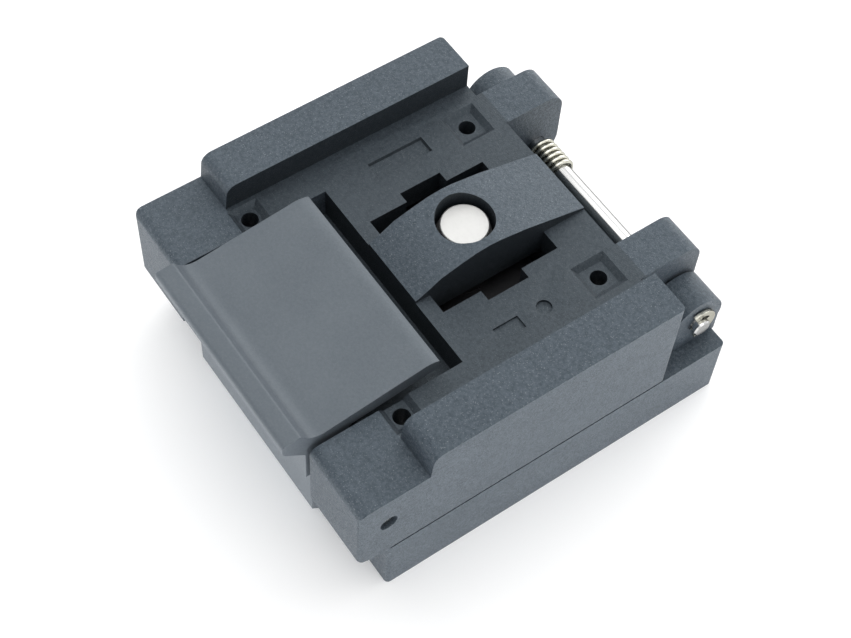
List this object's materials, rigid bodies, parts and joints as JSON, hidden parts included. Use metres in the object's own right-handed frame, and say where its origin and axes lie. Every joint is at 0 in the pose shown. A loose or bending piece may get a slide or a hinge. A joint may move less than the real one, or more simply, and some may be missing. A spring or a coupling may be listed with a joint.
{
  "type": "zif socket",
  "caption": "Clamshell test socket for a leadless chip package, with a sprung lid, rocker latch, floating pusher and spring contacts.",
  "frame": {"origin": "centre of the package seat, on the board face under the base", "axes": "+X along the hinge shaft, +Y from the latch to the hinge, +Z away from the board"},
  "size_m": [0.04, 0.0475, 0.0211],
  "materials": {
    "moulding": "moulded, fine texture",
    "carrier_plastic": "moulded, satin",
    "lever_plastic": "moulded, smoother satin",
    "stainless": "ground",
    "spring_wire": "drawn wire",
    "gold": "gold plated",
    "brass": "machined",
    "disc_metal": "ground face",
    "retainer_metal": "stamped"
  },
  "bodies": {
    "base": {"base_body": "moulding", "contact_carrier": "carrier_plastic", "contacts_right": "gold", "contacts_rear": "gold", "contacts_left": "gold", "contacts_front": "gold", "ground_probes": "gold", "nest_screws": "stainless", "nest_springs": "spring_wire", "threaded_inserts": "brass", "hinge_shaft": "stainless", "e_ring_right": "spring_wire", "e_ring_left": "spring_wire", "lid_spring": "spring_wire"},
    "nest": {"nest": "carrier_plastic"},
    "lid": {"lid_frame": "moulding", "latch_pin": "stainless", "latch_springs": "spring_wire", "pusher_springs": "spring_wire", "pusher_retainer": "retainer_metal", "retainer_screws": "stainless"},
    "latch": {"latch_lever": "lever_plastic"},
    "pusher": {"pusher_body": "carrier_plastic", "pusher_disc": "disc_metal"}
  },
  "joints": [
    {"name": "lid_hinge", "type": "hinge", "parent": "base", "child": "lid", "pos_m": [0, 0.0164, 0.0114], "axis": [-1, 0, 0], "range_deg": [0, 95], "deforming": ["lid_spring"]},
    {"name": "latch_pivot", "type": "hinge", "parent": "lid", "child": "latch", "pos_m": [0, -0.0222, 0.0137], "axis": [-1, 0, 0], "range_deg": [0, 10], "stiffness_Nm_per_rad": 0.06, "springref_deg": -2.86, "deforming": ["latch_springs"]},
    {"name": "pusher_float", "type": "slide", "parent": "lid", "child": "pusher", "axis": [0, 0, 1], "range_m": [0, 0.0006], "stiffness_N_per_m": 3000, "springref_m": -0.0005, "deforming": ["pusher_springs"]},
    {"name": "nest_float", "type": "slide", "parent": "base", "child": "nest", "axis": [0, 0, -1], "range_m": [0, 0.0005], "stiffness_N_per_m": 800, "springref_m": -0.0005, "deforming": ["nest_springs"]}
  ]
}
